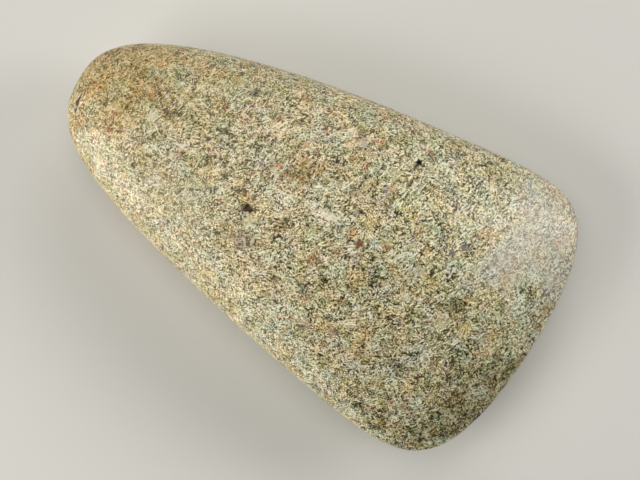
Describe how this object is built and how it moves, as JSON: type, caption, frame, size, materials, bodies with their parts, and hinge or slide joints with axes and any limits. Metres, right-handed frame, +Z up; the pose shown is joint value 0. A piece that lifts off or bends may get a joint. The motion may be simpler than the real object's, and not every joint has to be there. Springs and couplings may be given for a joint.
{
  "type": "polished stone axe head",
  "caption": "Polished stone axe head of speckled green and cream dolerite: rounded narrow butt, sides that widen to a gently curved cutting edge, oval section. Lies on one face.",
  "frame": {"origin": "under the middle of the axe's box, on the surface it lies on, inside its ground flat", "axes": "+X from the butt to the cutting edge, +Y across the axe, +Z up through its thickness"},
  "size_m": [0.11, 0.0646, 0.0341],
  "materials": {
    "stone": "ground and polished, with a soft sheen on a coarse speckled grain and a few open pits"
  },
  "bodies": {
    "root": {"axe_head": "stone"}
  },
  "joints": []
}
